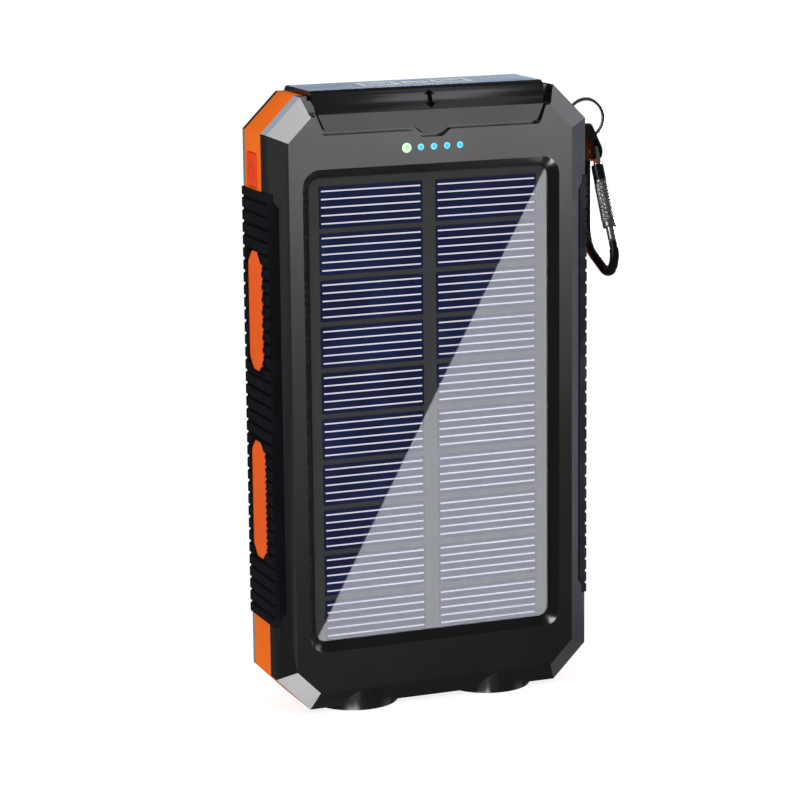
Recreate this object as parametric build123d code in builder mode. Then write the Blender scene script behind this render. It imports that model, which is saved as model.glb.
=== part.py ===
from build123d import *
import os

# Solar phone charger: a rugged power bank with a solar panel on its front face, two torch
# lamps at its foot, a hinged flap over its ports and a compass on its back.
#
# Frame: X across the case, Y through it, Z up towards the port end, in millimetres.
# Y = 0 is the flat back face, and Z = 0 is half way up the case.
# A "height" is the distance in front of the back face, so height h is the plane y = -h.

os.makedirs("parts", exist_ok=True)

# ---- driving dimensions -------------------------------------------------------------
case_w = 75.0          # across the flat side walls
case_h = 136.4         # over the flat ends
case_d = 20.0          # back face to front face
corner = 7.8           # 45 degree cut at each corner of the outline
bevel_run = 4.2        # how far the front and back faces step in from the outline
bevel_rise = 2.2       # height taken by that slope
seam_rear = 3.6        # height where the rear shell meets the middle frame
seam_front = 14.0      # height where the middle frame meets the front shell
shell_wall = 3.4       # side wall of both shells
frame_wall = 2.4       # side wall of the middle frame
rear_floor = 1.6       # thickness of the rear shell's back
front_ceiling = 15.0   # height of the front shell's inner face

half_w = case_w / 2
half_h = case_h / 2

# solar panel
panel_z = -1.1
panel_w, panel_l = 56.4, 103.5
recess_slope = 2.0     # the recess walls lean in by this much
recess_d = 2.0         # depth of the visible panel surface
recess_r = 4.0
board_t = 0.8
tape_t = 0.2
cell_t = 0.15
line_t = 0.05
cover_t = 0.4
cell_cols, cell_rows = 2, 10
cell_w, cell_l = 24.0, 9.1
cell_pitch_x, cell_pitch_z = 27.2, 10.26
cell_top_gap = 2.0     # clear strip above the first row
lines_per_cell = 5
line_pitch = 1.77
line_w = 0.3
line_inset = 0.45

# indicator lights
light_z = 56.35
green_x, green_r = -6.1, 1.07
blue_x, blue_pitch, blue_count, blue_r = 1.8, 3.07, 4, 0.73

# port flap and its hinge
flap_half = 27.2
flap_top = 69.3
flap_t = 1.6
lip_bottom = 60.7
lip_crease = 64.4
tab_bottom = 59.2
lip_t = 1.5
lip_gap = 0.75
hinge_h, hinge_z = 2.5, 67.0
barrel_r = 2.3
ear_l = 6.0
pin_r = 0.6
running_fit = 0.06
port_deck = 67.2       # level of the wall that carries the ports
port_wall_bottom = 63.0
bay_half = 27.6        # half width of the opening that the flap closes

# ports
port_h = 9.5
usb_x = 17.0
usb_w, usb_t, usb_l = 13.1, 5.7, 14.0
usb_skin = 0.35
micro_w, micro_t, micro_l = 7.6, 2.9, 5.6

# torch
torch_x = 16.3
torch_h = 10.0
boss_r = 9.9
boss_end = -69.2
boss_top = -58.5
tube_r = 8.0
bore_r = 7.2

# power button
button_z, button_h = 52.0, 8.0
button_l, button_w = 7.4, 6.6
button_travel = 0.4
button_gap = 0.15

# side grips
grip_top, grip_bottom = 47.8, -48.3
rib_pitch = 2.78
rib_count = 34
grip_proud = 0.4
inlay_h, inlay_w = 9.4, 9.0
inlay_spans = ((8.0, 34.3), (-34.4, -7.9))
inlay_depth, inlay_proud = 0.5, 0.2

# compass
compass_z = 51.6
compass_r = 7.5
plateau_t = 1.0

# screws
screw_x, screw_z = 29.3, 59.4
screw_r, screw_head_r, screw_cap_r = 0.95, 1.7, 1.8
screw_head_low, screw_head_t = 1.1, 1.2
screw_end = 17.0
cross_l, cross_w, cross_d = 2.2, 0.5, 0.6
post_r = 2.8

# split ring and carabiner
ring_hole_x, ring_h, ring_z = 36.3, 11.1, 59.4
ring_r, wire_r = 4.4, 0.38
ring_hole_r = 0.7
bar_low, bar_high = 58.4, 60.4
ring_notch_w = 2 * (seam_front - ring_h)
clip_x = ring_hole_x + ring_r
clip_z = ring_z - ring_r
bar_r = 1.1
eye_r = 0.95


def outline(inset=0.0):
    """Corners of the eight-sided case outline in X and Z, moved in by inset."""
    w = half_w - inset
    h = half_h - inset
    c = corner - inset * (2 - 2 ** 0.5)
    return [(w, h - c), (w - c, h), (c - w, h), (-w, h - c),
            (-w, c - h), (c - w, -h), (w - c, -h), (w, c - h)]


def height_plane(h):
    """Plane parallel to the back face, facing forwards: local x is X and local y is Z."""
    return Plane.XZ.offset(h)


def mirrored_x(points):
    """An outline given by its right half, completed with the left half."""
    return points + [(-x, z) for x, z in reversed(points)]


screw_points = [(sx * screw_x, sz * screw_z) for sx in (-1, 1) for sz in (-1, 1)]
torch_points = [(-torch_x, -torch_h), (torch_x, -torch_h)]


def boss_section(radius, low, high):
    """Section across both torch bosses, kept between two heights."""
    with Locations(*torch_points):
        Circle(radius)
    with Locations((0, -(low + high) / 2)):
        Rectangle(case_w, high - low, mode=Mode.INTERSECT)


def screw_holes(radius, low, high):
    """Cuts the four screw holes between two heights."""
    with BuildSketch(height_plane(low)) as holes:
        with Locations(*screw_points):
            Circle(radius)
    extrude(holes.sketch, amount=high - low, mode=Mode.SUBTRACT)


def flap_trough():
    """Cuts the round seat of the flap's hinge barrel, and all above it."""
    with BuildSketch(Plane.YZ.offset(-bay_half)) as seat_round:
        with Locations((-hinge_h, hinge_z)):
            Circle(barrel_r + 0.25)
    extrude(seat_round.sketch, amount=2 * bay_half, mode=Mode.SUBTRACT)
    with BuildSketch(height_plane(-2)) as above:
        with Locations((0, port_deck)):
            Rectangle(2 * bay_half, 6, align=(Align.CENTER, Align.MIN))
    extrude(above.sketch, amount=case_d + 4, mode=Mode.SUBTRACT)


# ---- side grips: ribbed rubber over both side walls -----------------------------------
grip_depth = 1.1
flange = 0.5           # share of the bevel that the grip's flange covers
bevel_len = (bevel_run ** 2 + bevel_rise ** 2) ** 0.5
bevel_nx, bevel_nh = bevel_rise / bevel_len, bevel_run / bevel_len


def grip_section():
    """Corners of one grip across the case, in X and Y, on the right side."""
    fx = half_w - flange * bevel_run
    fh = case_d - bevel_rise + flange * bevel_rise
    proud, deep = 0.35, 0.8
    front_outer = (fx + proud * bevel_nx, fh + proud * bevel_nh)
    front_inner = (fx - deep * bevel_nx, fh - deep * bevel_nh)
    shoulder = case_d - bevel_rise
    outer_x, inner_x = half_w + grip_proud, half_w - grip_depth
    half = [front_inner, front_outer, (outer_x, shoulder + 0.2)]
    back = [(x, case_d - h) for x, h in reversed(half)]
    inner = [(inner_x, case_d - shoulder + 0.35), (inner_x, shoulder - 0.35)]
    return [(x, -h) for x, h in half + back + inner]


def flange_relief():
    """Narrows the grip's flanges towards both ends."""
    inner_x = half_w - flange * bevel_run - 0.6
    step_x = half_w - 0.9
    for end, sign in ((grip_top, 1), (grip_bottom, -1)):
        for low in (case_d - bevel_rise + 0.25, -1.0):
            with BuildSketch(height_plane(low)) as relief:
                Polygon((inner_x, end + sign), (step_x, end + sign), (step_x, end - sign * 1.6),
                        (inner_x, end - sign * 4.2), align=None)
            extrude(relief.sketch, amount=bevel_rise + 0.75, mode=Mode.SUBTRACT)


# the two coloured inlays in Y and Z, with a toe between the ribs all along the front edge
inlay_taper, inlay_tip, toe_r = 2.6, 2.0, 0.55

with BuildSketch() as inlay_bars:
    for low, high in inlay_spans:
        with Locations((-inlay_h, (low + high) / 2)):
            w, half = inlay_w / 2, (high - low) / 2
            Polygon((-w, inlay_taper - half), (-inlay_tip, -half), (inlay_tip, -half),
                    (w, inlay_taper - half), (w, half - inlay_taper), (inlay_tip, half),
                    (-inlay_tip, half), (-w, half - inlay_taper), align=None)
    fillet(inlay_bars.vertices(), 1.7)
    for low, high in inlay_spans:
        toes = int((high - low - 2 * inlay_taper) / rib_pitch) + 1
        with Locations((-inlay_h - inlay_w / 2, (low + high) / 2)):
            with GridLocations(0, rib_pitch, 1, toes):
                Circle(toe_r)

# the smooth body of the grip is also the shape of its seat in the case
with BuildPart() as grip_blank:
    with BuildSketch(Plane.XY.offset(grip_bottom)):
        Polygon(*grip_section(), align=None)
    extrude(amount=grip_top - grip_bottom)
    flange_relief()

with BuildPart() as grip_seats:
    add(grip_blank.part)
    mirror(about=Plane.YZ)

with BuildPart() as grip_right:
    add(grip_blank.part)
    with BuildSketch(height_plane(-1)):
        with Locations((half_w + grip_proud, (grip_top + grip_bottom) / 2)):
            with GridLocations(0, rib_pitch, 1, rib_count):
                Polygon((0.1, 0.46), (0.1, -0.46), (-0.45, -0.18), (-0.45, 0.18), align=None)
    extrude(amount=case_d + 2, mode=Mode.SUBTRACT)
    with BuildSketch(Plane.YZ.offset(half_w - inlay_depth)):
        add(inlay_bars.sketch)
    extrude(amount=2, mode=Mode.SUBTRACT)

with BuildPart() as grip_inlays_right:
    with BuildSketch(Plane.YZ.offset(half_w - inlay_depth)):
        add(inlay_bars.sketch)
    extrude(amount=inlay_depth + inlay_proud)

with BuildPart() as grip_left:
    add(mirror(grip_right.part, about=Plane.YZ))

with BuildPart() as grip_inlays_left:
    add(mirror(grip_inlays_right.part, about=Plane.YZ))


# ---- front shell ---------------------------------------------------------------------
def lip_outline(gap=0.0):
    """Front outline of the flap's lip and finger tab, grown by gap."""
    right = [(2.1 + gap / 2, tab_bottom - gap), (3.8 + gap / 2, lip_bottom - gap),
             (24.8 + gap, lip_bottom - gap), (26.4 + gap, lip_crease), (flap_half + 0.1, 67.8)]
    Polygon(*mirrored_x([(flap_half + 0.1, flap_top + 2)] + right[::-1]), align=None)


lip_floor = case_d - lip_t - 0.25

with BuildPart() as front_shell:
    with BuildSketch(height_plane(seam_front)):
        Polygon(*outline(), align=None)
    extrude(amount=case_d - bevel_rise - seam_front)
    with BuildSketch(height_plane(case_d - bevel_rise)):
        Polygon(*outline(), align=None)
    with BuildSketch(height_plane(case_d)):
        Polygon(*outline(bevel_run), align=None)
    loft(ruled=True)
    with BuildSketch(height_plane(seam_front)):
        Polygon(*outline(shell_wall), align=None)
    extrude(amount=front_ceiling - seam_front, mode=Mode.SUBTRACT)
    with BuildSketch(height_plane(seam_front)):
        with Locations((0, (port_wall_bottom + 52.0) / 2)):
            Rectangle(52, port_wall_bottom - 52.0)
    extrude(amount=3.0, mode=Mode.SUBTRACT)
    with BuildSketch(Plane.XY.offset(boss_end)):
        boss_section(boss_r, seam_front, case_d)
    extrude(amount=boss_top - boss_end)
    with BuildSketch(Plane.XY.offset(boss_end)):
        boss_section(tube_r, seam_front, case_d)
    extrude(amount=boss_top - boss_end, mode=Mode.SUBTRACT)
    with BuildSketch(height_plane(seam_front)):
        with Locations(*screw_points):
            Circle(post_r)
    extrude(amount=front_ceiling - seam_front)
    with BuildSketch(height_plane(seam_front)):
        with Locations((0, (port_wall_bottom + port_deck) / 2)):
            Rectangle(2 * bay_half + 3, port_deck - port_wall_bottom)
    extrude(amount=front_ceiling - seam_front)
    screw_holes(screw_r, seam_front, 17.5)
    # sloped recess and straight seat for the solar panel
    with BuildSketch(height_plane(case_d)):
        with Locations((0, panel_z)):
            RectangleRounded(panel_w + 2 * recess_slope, panel_l + 2 * recess_slope, recess_r)
    with BuildSketch(height_plane(case_d - recess_d)):
        with Locations((0, panel_z)):
            RectangleRounded(panel_w, panel_l, recess_r - 1.5)
    loft(ruled=True, mode=Mode.SUBTRACT)
    with BuildSketch(height_plane(case_d - recess_d)):
        with Locations((0, panel_z)):
            RectangleRounded(panel_w, panel_l, recess_r - 1.5)
    extrude(amount=-(tape_t + board_t + cell_t + line_t + cover_t), mode=Mode.SUBTRACT)
    # light holes
    with BuildSketch(height_plane(seam_front)):
        with Locations((green_x, light_z)):
            Circle(green_r)
        with Locations((blue_x, light_z)):
            with GridLocations(blue_pitch, 0, blue_count, 1):
                Circle(blue_r)
    extrude(amount=case_d - seam_front, mode=Mode.SUBTRACT)
    # pocket for the flap's lip, dark gaps beside it and the opening above the port wall
    with BuildSketch(height_plane(lip_floor)) as lip_pocket:
        lip_outline(lip_gap)
        fillet(lip_pocket.vertices().group_by(Axis.Y)[:2], 1.2)
    extrude(amount=case_d, mode=Mode.SUBTRACT)
    with BuildSketch(height_plane(16.2)):
        Polygon(*mirrored_x([(30.0, half_h + 1), (28.3, lip_crease)]), align=None)
    extrude(amount=case_d, mode=Mode.SUBTRACT)
    flap_trough()
    add(grip_seats.part, mode=Mode.SUBTRACT)

# ---- rear shell ----------------------------------------------------------------------
plateau_right = [(27.3, 65.3), (21.2, 51.0), (17.0, 38.6)]
plateau_slope = 1.9


# raised field round the compass, narrowing away from the port end
with BuildSketch() as plateau:
    Polygon(*mirrored_x(plateau_right), align=None)
    fillet(plateau.vertices().group_by(Axis.Y)[0], 4.0)

with BuildPart() as rear_shell:
    with BuildSketch(height_plane(0)):
        Polygon(*outline(bevel_run), align=None)
    with BuildSketch(height_plane(bevel_rise)):
        Polygon(*outline(), align=None)
    loft(ruled=True)
    with BuildSketch(height_plane(bevel_rise)):
        Polygon(*outline(), align=None)
    extrude(amount=seam_rear - bevel_rise)
    with BuildSketch(height_plane(rear_floor)):
        Polygon(*outline(shell_wall), align=None)
    extrude(amount=seam_rear - rear_floor, mode=Mode.SUBTRACT)
    with BuildSketch(Plane.XY.offset(boss_end)):
        boss_section(boss_r, 0, seam_rear)
    extrude(amount=boss_top - boss_end)
    with BuildSketch(Plane.XY.offset(boss_end)):
        boss_section(tube_r, 0, seam_rear)
    extrude(amount=boss_top - boss_end, mode=Mode.SUBTRACT)
    with BuildSketch(height_plane(rear_floor)):
        with Locations(*screw_points):
            Circle(post_r)
        with Locations((0, 64.0)):
            Rectangle(2 * bay_half + 3, 4.4)
    extrude(amount=seam_rear - rear_floor)
    # raised compass field
    with BuildSketch(height_plane(0)):
        add(plateau.sketch)
    with BuildSketch(height_plane(-plateau_t)):
        add(plateau.sketch)
        offset(amount=-plateau_slope, mode=Mode.REPLACE)
    loft(ruled=True)
    with BuildSketch(height_plane(0)):
        add(plateau.sketch)
    extrude(amount=1.2)
    with BuildSketch(height_plane(-plateau_t)):
        with Locations((0, compass_z)):
            Circle(compass_r + 0.05)
    extrude(amount=plateau_t + seam_rear, mode=Mode.SUBTRACT)
    # raised pad between the torch bosses
    with BuildSketch(height_plane(-0.5)) as torch_pad:
        Polygon(*mirrored_x([(12.8, -54.2), (17.8, -61.6)]), align=None)
        fillet(torch_pad.vertices(), 0.8)
    extrude(amount=1.0)
    with BuildSketch(height_plane(-0.5)):
        with Locations((0, -59.5)):
            SlotOverall(22, 1.0)
    extrude(amount=0.4, mode=Mode.SUBTRACT)
    # long grooves beside the grips and the line round the middle panel
    with BuildSketch(height_plane(0)):
        with Locations((0, 0.35)):
            with GridLocations(61, 0, 2, 1):
                SlotOverall(105.7, 1.7, rotation=90)
    extrude(amount=0.6, mode=Mode.SUBTRACT)
    with BuildSketch(height_plane(0)):
        Polygon(*mirrored_x([(17.0, 36.4), (23.1, 30.3), (23.1, -49.2), (20.6, -51.6)]), align=None)
        offset(amount=-0.4, mode=Mode.SUBTRACT)
    extrude(amount=0.35, mode=Mode.SUBTRACT)
    with BuildSketch(height_plane(-2)):
        with Locations(*screw_points):
            Circle(screw_cap_r + 0.05)
    extrude(amount=2.0 + screw_head_low + screw_head_t, mode=Mode.SUBTRACT)
    screw_holes(screw_r + 0.15, 0, seam_rear)
    flap_trough()
    with BuildSketch(Plane.YZ.offset(-flap_half - 2.2)):
        with Locations((-hinge_h, hinge_z)):
            Circle(pin_r)
    extrude(amount=2 * flap_half + 4.4, mode=Mode.SUBTRACT)
    add(grip_seats.part, mode=Mode.SUBTRACT)

# ---- middle frame --------------------------------------------------------------------
with BuildPart() as mid_frame:
    with BuildSketch(height_plane(seam_rear)):
        Polygon(*outline(), align=None)
        Polygon(*outline(frame_wall), align=None, mode=Mode.SUBTRACT)
        # wall behind the ports, and the solid corner that the ring passes through
        with Locations((0, (port_wall_bottom + half_h) / 2)):
            Rectangle(case_w - 2 * corner, half_h - port_wall_bottom)
        Polygon((half_w, 51.0), (half_w, half_h - corner), (33.3, 64.6), (33.3, 51.0), align=None)
        # screw posts and the webs that hold them to the corners
        with Locations(*screw_points):
            Circle(post_r)
        for x, z in screw_points:
            turn = 45 if x * z > 0 else -45
            with Locations(Location(((x + (2.0 if x > 0 else -2.0)), z + (2.0 if z > 0 else -2.0), 0),
                                    (0, 0, turn))):
                Rectangle(6.4, 2.0)
    extrude(amount=seam_front - seam_rear)
    with BuildSketch(Plane.XY.offset(boss_end)):
        boss_section(boss_r, seam_rear, seam_front)
        with Locations(*torch_points):
            Circle(tube_r)
    extrude(amount=boss_top - boss_end)
    with BuildSketch(Plane.XY.offset(boss_end)):
        with Locations(*torch_points):
            Circle(bore_r)
    extrude(amount=boss_top - boss_end, mode=Mode.SUBTRACT)
    screw_holes(screw_r + 0.15, seam_rear, seam_front)
    flap_trough()
    # port openings
    with BuildSketch(Plane.XY.offset(port_wall_bottom - 1)):
        with Locations((-usb_x, -port_h), (usb_x, -port_h)):
            Rectangle(usb_w, usb_t)
        with Locations((0, -port_h)):
            Rectangle(micro_w, micro_t)
    extrude(amount=8, mode=Mode.SUBTRACT)
    # power button opening in the left wall
    with BuildSketch(Plane.YZ.offset(-half_w - 1)):
        with Locations((-button_h, button_z)):
            RectangleRounded(button_w + 2 * button_gap, button_l + 2 * button_gap, 0.9)
    extrude(amount=frame_wall + 2, mode=Mode.SUBTRACT)
    # the bar for the split ring: a notch above it, a notch below it and a hole along Z
    with BuildSketch(Plane.YZ.offset(ring_hole_x - 1.9)):
        with Locations((-ring_h, bar_high)):
            Rectangle(ring_notch_w, 12, align=(Align.CENTER, Align.MIN))
        with Locations((-ring_h, bar_low)):
            Rectangle(ring_notch_w, 5.0, align=(Align.CENTER, Align.MAX))
    extrude(amount=10, mode=Mode.SUBTRACT)
    with BuildSketch(Plane.XY.offset(bar_low)):
        with Locations((ring_hole_x, -ring_h)):
            Circle(ring_hole_r)
    extrude(amount=bar_high - bar_low, mode=Mode.SUBTRACT)
    add(grip_seats.part, mode=Mode.SUBTRACT)

# ---- solar panel ---------------------------------------------------------------------
seat = case_d - recess_d - (tape_t + board_t + cell_t + line_t + cover_t)
board_low = seat + tape_t
board_high = board_low + board_t
cell_high = board_high + cell_t
line_high = cell_high + line_t
panel_gap = 0.1
cell_mid_z = panel_z + panel_l / 2 - cell_top_gap - ((cell_rows - 1) * cell_pitch_z + cell_l) / 2

with BuildPart() as solar_tape:
    with BuildSketch(height_plane(seat)):
        with Locations((0, panel_z)):
            RectangleRounded(panel_w - 2, panel_l - 2, 1.5)
            RectangleRounded(panel_w - 10, panel_l - 10, 1.5, mode=Mode.SUBTRACT)
    extrude(amount=tape_t)

with BuildPart() as solar_board:
    with BuildSketch(height_plane(board_low)):
        with Locations((0, panel_z)):
            RectangleRounded(panel_w - 2 * panel_gap, panel_l - 2 * panel_gap, 2.3)
    extrude(amount=board_t)

with BuildPart() as solar_cells:
    with BuildSketch(height_plane(board_high)):
        with Locations((0, cell_mid_z)):
            with GridLocations(cell_pitch_x, cell_pitch_z, cell_cols, cell_rows):
                Rectangle(cell_w, cell_l)
    extrude(amount=cell_t)

with BuildPart() as solar_lines:
    with BuildSketch(height_plane(cell_high)):
        with Locations((0, cell_mid_z)):
            with GridLocations(cell_pitch_x, cell_pitch_z, cell_cols, cell_rows):
                with GridLocations(0, line_pitch, 1, lines_per_cell):
                    Rectangle(cell_w - 2 * line_inset, line_w)
    extrude(amount=line_t)

with BuildPart() as solar_cover:
    with BuildSketch(height_plane(line_high)):
        with Locations((0, panel_z)):
            RectangleRounded(panel_w - 2 * panel_gap, panel_l - 2 * panel_gap, 2.3)
    extrude(amount=cover_t)

# ---- port flap -----------------------------------------------------------------------
plate_under = flap_top - flap_t
lip_back = case_d - lip_t

with BuildPart() as port_flap:
    # section across the flap: front lip, hollow shoulder, top plate and sloped back strip
    with BuildSketch(Plane.YZ.offset(-flap_half)):
        with BuildLine():
            Polyline((-case_d, lip_crease), (-case_d, tab_bottom), (-lip_back, tab_bottom),
                     (-lip_back, 66.2), (-16.6, plate_under), (-5.2, plate_under), (-4.2, 65.9),
                     (-hinge_h, 65.0), (-0.9, 66.2), (-hinge_h, flap_top), (-16.4, flap_top))
            ThreePointArc((-16.4, flap_top), (-17.5, 68.9), (-18.2, 67.9))
            ThreePointArc((-18.2, 67.9), (-18.95, 65.9), (-case_d, lip_crease))
        make_face()
    extrude(amount=2 * flap_half)
    with BuildSketch(height_plane(-2)) as flap_front:
        lip_outline()
        fillet(flap_front.vertices().group_by(Axis.Y)[:2], 1.2)
    extrude(amount=case_d + 4, mode=Mode.INTERSECT)
    # round hinge barrels at both ends of the back edge
    with BuildSketch(Plane.YZ.offset(-flap_half + 0.1)):
        with Locations((-hinge_h, hinge_z)):
            Circle(barrel_r)
    extrude(amount=ear_l)
    with BuildSketch(Plane.YZ.offset(flap_half - 0.1)):
        with Locations((-hinge_h, hinge_z)):
            Circle(barrel_r)
    extrude(amount=-ear_l)
    with BuildSketch(Plane.YZ.offset(-flap_half - 1)):
        with Locations((-hinge_h, hinge_z)):
            Circle(pin_r + running_fit)
    extrude(amount=2 * flap_half + 2, mode=Mode.SUBTRACT)

with BuildPart() as flap_gasket:
    with BuildSketch(Plane.XY.offset(port_deck + 0.05)):
        with Locations((0, -port_h)):
            RectangleRounded(48, 8.0, 2.0)
            RectangleRounded(45, 5.9 + 0.4, 1.5, mode=Mode.SUBTRACT)
    extrude(amount=plate_under - port_deck - 0.05)

with BuildPart() as flap_hinge_pins:
    with BuildSketch(Plane.YZ.offset(-flap_half - 2.2)):
        with Locations((-hinge_h, hinge_z)):
            Circle(pin_r)
    extrude(amount=ear_l + 1.5)
    with BuildSketch(Plane.YZ.offset(flap_half + 2.2)):
        with Locations((-hinge_h, hinge_z)):
            Circle(pin_r)
    extrude(amount=-ear_l - 1.5)

# ---- power button --------------------------------------------------------------------
wall_inner = half_w - frame_wall
flange_t = 0.6
stem_end = 33.9
switch_x = 33.2

with BuildPart() as power_button:
    with BuildSketch(Plane.YZ.offset(-half_w - 0.15)):
        with Locations((-button_h, button_z)):
            RectangleRounded(button_w, button_l, 0.8)
    extrude(amount=half_w + 0.15 - wall_inner)
    fillet(power_button.faces().sort_by(Axis.X)[0].edges(), 0.35)
    with BuildSketch(Plane.YZ.offset(-wall_inner)):
        with Locations((-button_h, button_z)):
            RectangleRounded(button_w + 1.4, button_l + 1.6, 0.8)
    extrude(amount=flange_t)
    with BuildSketch(Plane.YZ.offset(-wall_inner + flange_t)):
        with Locations((-button_h, button_z)):
            Circle(1.2)
    extrude(amount=wall_inner - flange_t - stem_end)

with BuildPart() as switch_plunger:
    with BuildSketch(Plane.YZ.offset(-stem_end)):
        with Locations((-button_h, button_z)):
            Circle(0.9)
    extrude(amount=stem_end - switch_x + 0.3)

with BuildPart() as tact_switch:
    with BuildSketch(Plane.YZ.offset(-switch_x)):
        with Locations((-button_h, button_z)):
            Rectangle(2.7, 5.0)
    extrude(amount=3.0)
    with BuildSketch(Plane.YZ.offset(-switch_x)):
        with Locations((-button_h, button_z)):
            Circle(1.0)
    extrude(amount=0.3 + button_travel + 0.2, mode=Mode.SUBTRACT)

# ---- main board and ports ------------------------------------------------------------
pcb_low = port_h - usb_t / 2 - 1.0
pcb_high = port_h - usb_t / 2

with BuildPart() as main_board:
    with BuildSketch(height_plane(pcb_low)):
        Polygon((-32.0, 43.5), (30.0, 43.5), (30.0, 55.0), (25.0, 55.0), (25.0, 62.4),
                (-25.0, 62.4), (-25.0, 55.0), (-32.0, 55.0), align=None)
    extrude(amount=1.0)

socket_end = port_deck - 0.1

with BuildPart() as usb_a_shells:
    with BuildSketch(Plane.XY.offset(socket_end - usb_l)):
        with Locations((-usb_x, -port_h), (usb_x, -port_h)):
            Rectangle(usb_w, usb_t)
    extrude(amount=usb_l)
    with BuildSketch(Plane.XY.offset(socket_end - usb_l + usb_skin)):
        with Locations((-usb_x, -port_h), (usb_x, -port_h)):
            Rectangle(usb_w - 2 * usb_skin, usb_t - 2 * usb_skin)
    extrude(amount=usb_l, mode=Mode.SUBTRACT)

with BuildPart() as usb_a_tongues:
    with BuildSketch(Plane.XY.offset(socket_end - usb_l + usb_skin)):
        with Locations((-usb_x, -port_h - 0.9), (usb_x, -port_h - 0.9)):
            Rectangle(11.1, 1.8)
    extrude(amount=usb_l - usb_skin - 1.2)

with BuildPart() as micro_usb_shell:
    with BuildSketch(Plane.XY.offset(socket_end - micro_l)):
        with Locations((0, -port_h)):
            Rectangle(micro_w, micro_t)
    extrude(amount=micro_l)
    with BuildSketch(Plane.XY.offset(socket_end - micro_l + 0.3)):
        with Locations((0, -port_h)):
            Rectangle(micro_w - 0.6, micro_t - 0.6)
    extrude(amount=micro_l, mode=Mode.SUBTRACT)

with BuildPart() as micro_usb_tongue:
    with BuildSketch(Plane.XY.offset(socket_end - micro_l + 0.3)):
        with Locations((0, -port_h + 0.3)):
            Rectangle(5.0, 0.6)
    extrude(amount=micro_l - 1.3)

with BuildPart() as micro_usb_riser:
    with BuildSketch(height_plane(pcb_high)):
        with Locations((0, 61.9)):
            Rectangle(7.0, 1.0)
    extrude(amount=port_h - micro_t / 2 - pcb_high)

with BuildPart() as power_inductor:
    with BuildSketch(height_plane(pcb_high)):
        with Locations((-20, 48.0)):
            RectangleRounded(7.0, 7.0, 1.2)
    extrude(amount=3.2)
    fillet(power_inductor.faces().sort_by(Axis.Y)[0].edges(), 0.4)

with BuildPart() as control_chips:
    with BuildSketch(height_plane(pcb_high)):
        with Locations((-8, 48.5)):
            Rectangle(5.0, 5.0)
        with Locations((12, 48.0)):
            Rectangle(4.0, 5.0)
    extrude(amount=0.9)

with BuildPart() as capacitors:
    with BuildSketch(height_plane(pcb_high)):
        with Locations((1.5, 48.0)):
            with GridLocations(3.4, 3.4, 2, 2):
                Rectangle(2.0, 1.25)
        with Locations((22, 48.0)):
            with GridLocations(0, 4.2, 1, 2):
                Rectangle(3.2, 1.6)
    extrude(amount=1.25)

with BuildPart() as indicator_leds:
    with BuildSketch(height_plane(pcb_high)):
        with Locations((green_x, light_z)):
            Rectangle(1.6, 0.8)
        with Locations((blue_x, light_z)):
            with GridLocations(blue_pitch, 0, blue_count, 1):
                Rectangle(1.6, 0.8)
    extrude(amount=0.6)

pipe_low = pcb_high + 0.8
pipe_proud = 0.08

with BuildPart() as green_light_pipe:
    with BuildSketch(height_plane(pipe_low)):
        with Locations((green_x, light_z)):
            Circle(green_r)
    extrude(amount=case_d + pipe_proud - pipe_low)

with BuildPart() as blue_light_pipes:
    with BuildSketch(height_plane(pipe_low)):
        with Locations((blue_x, light_z)):
            with GridLocations(blue_pitch, 0, blue_count, 1):
                Circle(blue_r)
    extrude(amount=case_d + pipe_proud - pipe_low)

# ---- battery -------------------------------------------------------------------------
cell_pack_w, cell_pack_l, cell_pack_t = 62.0, 90.0, 5.8
cell_pack_z = -5.0
pouch_r = 1.2
pad_t = 0.4
rear_cell_low = rear_floor + pad_t
front_cell_low = rear_cell_low + cell_pack_t + pad_t


def pouch(low):
    """One flat lithium pouch with softened edges."""
    with BuildSketch(height_plane(low)) as face:
        with Locations((0, cell_pack_z)):
            RectangleRounded(cell_pack_w, cell_pack_l, 2.0)
    extrude(face.sketch, amount=cell_pack_t)


with BuildPart() as battery_cell_rear:
    pouch(rear_cell_low)
    rims = battery_cell_rear.edges().group_by(Axis.Y)
    fillet(rims[0] + rims[-1], pouch_r)

with BuildPart() as battery_cell_front:
    pouch(front_cell_low)
    rims = battery_cell_front.edges().group_by(Axis.Y)
    fillet(rims[0] + rims[-1], pouch_r)

with BuildPart() as battery_pads:
    pad_levels = ((rear_floor, pad_t), (rear_cell_low + cell_pack_t, pad_t),
                  (front_cell_low + cell_pack_t, front_ceiling - front_cell_low - cell_pack_t))
    for low, thick in pad_levels:
        with BuildSketch(height_plane(low)):
            with Locations((0, cell_pack_z)):
                with GridLocations(0, 60, 1, 2):
                    Rectangle(48, 10)
        extrude(amount=thick)

tab_z = cell_pack_z + cell_pack_l / 2

with BuildPart() as battery_tabs:
    for low in (rear_cell_low, front_cell_low):
        with BuildSketch(Plane.XY.offset(tab_z)):
            with Locations((0, -low - cell_pack_t / 2)):
                with GridLocations(20, 0, 2, 1):
                    Rectangle(5.0, 0.3)
        extrude(amount=1.6)

with BuildPart() as battery_protection_board:
    with BuildSketch(Plane.XY.offset(tab_z + 1.6)):
        with Locations((0, -9.9)):
            Rectangle(40, 5.2)
        with Locations((0, -6.6)):
            Rectangle(30, 3.6)
    extrude(amount=0.8)

# ---- torch ---------------------------------------------------------------------------
torch_board_z = boss_top
reflector_top = torch_board_z - 0.9
lens_low, lens_high = boss_end + 0.3, boss_end + 1.9

with BuildPart() as torch_board:
    with BuildSketch(Plane.XY.offset(torch_board_z)):
        with Locations((0, -torch_h)):
            RectangleRounded(46, 7.6, 1.0)
    extrude(amount=1.0)

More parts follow.
